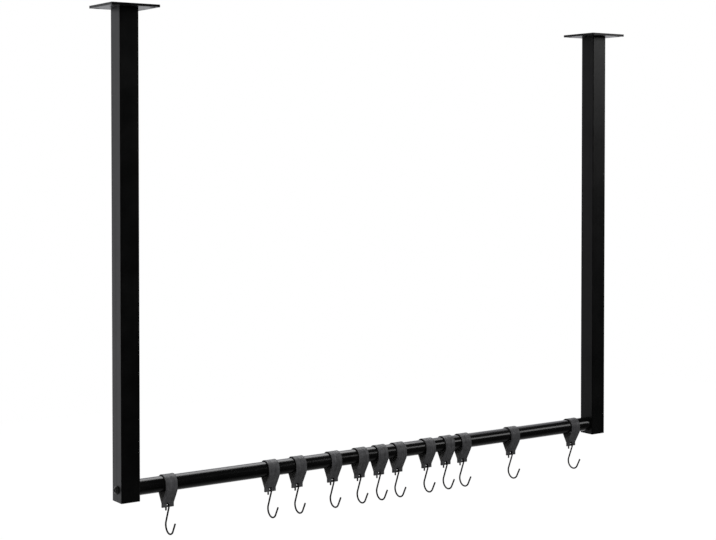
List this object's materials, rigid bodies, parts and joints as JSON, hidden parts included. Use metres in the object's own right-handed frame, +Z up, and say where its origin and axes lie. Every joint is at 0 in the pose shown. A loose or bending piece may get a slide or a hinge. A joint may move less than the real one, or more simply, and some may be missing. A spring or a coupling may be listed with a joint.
{
  "type": "ceiling-hung clothes rail",
  "caption": "Square posts on ceiling plates hold a round rail. Leather loops slide along it, each with a wire S-hook through its lower end.",
  "frame": {"origin": "in the ceiling plane (the top faces of both plates), half way between the posts and in the middle of their depth", "axes": "+X along the rail to the right seen from the front, +Y to the back, +Z up; the wide bends of the hooks open to the front (-Y)"},
  "size_m": [1.342, 0.102, 1.0383],
  "materials": {
    "frame_steel": "black powder coat, satin, finely textured",
    "rail_steel": "black powder coat, satin, smoother than the posts",
    "insert_steel": "turned and zinc plated",
    "bolt_steel": "black oxide, satin",
    "plug_plastic": "moulded, fine matt",
    "loop_leather": "charcoal leather, fine grain, darker cut edges",
    "hook_wire": "black, satin"
  },
  "bodies": {
    "frame": {"rail_tube": "rail_steel", "ceiling_plate_left": "frame_steel", "post_left": "frame_steel", "post_end_plug_left": "plug_plastic", "rail_insert_left": "insert_steel", "rail_bolt_left": "bolt_steel", "ceiling_plate_right": "frame_steel", "post_right": "frame_steel", "post_end_plug_right": "plug_plastic", "rail_insert_right": "insert_steel", "rail_bolt_right": "bolt_steel"},
    "loop_01": {"leather_loop_01": "loop_leather"},
    "hook_01": {"s_hook_01": "hook_wire"},
    "loop_02": {"leather_loop_02": "loop_leather"},
    "hook_02": {"s_hook_02": "hook_wire"},
    "loop_03": {"leather_loop_03": "loop_leather"},
    "hook_03": {"s_hook_03": "hook_wire"},
    "loop_04": {"leather_loop_04": "loop_leather"},
    "hook_04": {"s_hook_04": "hook_wire"},
    "loop_05": {"leather_loop_05": "loop_leather"},
    "hook_05": {"s_hook_05": "hook_wire"},
    "loop_06": {"leather_loop_06": "loop_leather"},
    "hook_06": {"s_hook_06": "hook_wire"},
    "loop_07": {"leather_loop_07": "loop_leather"},
    "hook_07": {"s_hook_07": "hook_wire"},
    "loop_08": {"leather_loop_08": "loop_leather"},
    "hook_08": {"s_hook_08": "hook_wire"},
    "loop_09": {"leather_loop_09": "loop_leather"},
    "hook_09": {"s_hook_09": "hook_wire"},
    "loop_10": {"leather_loop_10": "loop_leather"},
    "hook_10": {"s_hook_10": "hook_wire"},
    "loop_11": {"leather_loop_11": "loop_leather"},
    "hook_11": {"s_hook_11": "hook_wire"},
    "loop_12": {"leather_loop_12": "loop_leather"},
    "hook_12": {"s_hook_12": "hook_wire"}
  },
  "joints": [
    {"name": "loop_01_slide", "type": "slide", "parent": "frame", "child": "loop_01", "axis": [1, 0, 0], "range_m": [-0.0561, 0.105]},
    {"name": "hook_01_swing", "type": "hinge", "parent": "loop_01", "child": "hook_01", "pos_m": [-0.5304, 0.001, -0.98307], "axis": [1, 0, 0], "range_deg": [-60, 60]},
    {"name": "loop_02_slide", "type": "slide", "parent": "frame", "child": "loop_02", "axis": [1, 0, 0], "range_m": [-0.105, 0.0197]},
    {"name": "hook_02_swing", "type": "hinge", "parent": "loop_02", "child": "hook_02", "pos_m": [-0.2934, 0.001, -0.98307], "axis": [1, 0, 0], "range_deg": [-60, 60]},
    {"name": "loop_03_slide", "type": "slide", "parent": "frame", "child": "loop_03", "axis": [1, 0, 0], "range_m": [-0.0197, 0.0312]},
    {"name": "hook_03_swing", "type": "hinge", "parent": "loop_03", "child": "hook_03", "pos_m": [-0.22704, 0.001, -0.98307], "axis": [1, 0, 0], "range_deg": [-60, 60]},
    {"name": "loop_04_slide", "type": "slide", "parent": "frame", "child": "loop_04", "axis": [1, 0, 0], "range_m": [-0.0312, 0.0215]},
    {"name": "hook_04_swing", "type": "hinge", "parent": "loop_04", "child": "hook_04", "pos_m": [-0.13764, 0.001, -0.98307], "axis": [1, 0, 0], "range_deg": [-60, 60]},
    {"name": "loop_05_slide", "type": "slide", "parent": "frame", "child": "loop_05", "axis": [1, 0, 0], "range_m": [-0.0215, 0.0123]},
    {"name": "hook_05_swing", "type": "hinge", "parent": "loop_05", "child": "hook_05", "pos_m": [-0.06768, 0.001, -0.98307], "axis": [1, 0, 0], "range_deg": [-60, 60]},
    {"name": "loop_06_slide", "type": "slide", "parent": "frame", "child": "loop_06", "axis": [1, 0, 0], "range_m": [-0.0123, 0.0114]},
    {"name": "hook_06_swing", "type": "hinge", "parent": "loop_06", "child": "hook_06", "pos_m": [-0.01608, 0.001, -0.98307], "axis": [1, 0, 0], "range_deg": [-60, 60]},
    {"name": "loop_07_slide", "type": "slide", "parent": "frame", "child": "loop_07", "axis": [1, 0, 0], "range_m": [-0.0114, 0.0267]},
    {"name": "hook_07_swing", "type": "hinge", "parent": "loop_07", "child": "hook_07", "pos_m": [0.03372, 0.001, -0.98307], "axis": [1, 0, 0], "range_deg": [-60, 60]},
    {"name": "loop_08_slide", "type": "slide", "parent": "frame", "child": "loop_08", "axis": [1, 0, 0], "range_m": [-0.0267, 0.0137]},
    {"name": "hook_08_swing", "type": "hinge", "parent": "loop_08", "child": "hook_08", "pos_m": [0.11412, 0.001, -0.98307], "axis": [1, 0, 0], "range_deg": [-60, 60]},
    {"name": "loop_09_slide", "type": "slide", "parent": "frame", "child": "loop_09", "axis": [1, 0, 0], "range_m": [-0.0137, 0.0103]},
    {"name": "hook_09_swing", "type": "hinge", "parent": "loop_09", "child": "hook_09", "pos_m": [0.16848, 0.001, -0.98307], "axis": [1, 0, 0], "range_deg": [-60, 60]},
    {"name": "loop_10_slide", "type": "slide", "parent": "frame", "child": "loop_10", "axis": [1, 0, 0], "range_m": [-0.0103, 0.0588]},
    {"name": "hook_10_swing", "type": "hinge", "parent": "loop_10", "child": "hook_10", "pos_m": [0.216, 0.001, -0.98307], "axis": [1, 0, 0], "range_deg": [-60, 60]},
    {"name": "loop_11_slide", "type": "slide", "parent": "frame", "child": "loop_11", "axis": [1, 0, 0], "range_m": [-0.0588, 0.0809]},
    {"name": "hook_11_swing", "type": "hinge", "parent": "loop_11", "child": "hook_11", "pos_m": [0.3606, 0.001, -0.98307], "axis": [1, 0, 0], "range_deg": [-60, 60]},
    {"name": "loop_12_slide", "type": "slide", "parent": "frame", "child": "loop_12", "axis": [1, 0, 0], "range_m": [-0.0809, 0.037]},
    {"name": "hook_12_swing", "type": "hinge", "parent": "loop_12", "child": "hook_12", "pos_m": [0.54948, 0.001, -0.98307], "axis": [1, 0, 0], "range_deg": [-60, 60]}
  ]
}
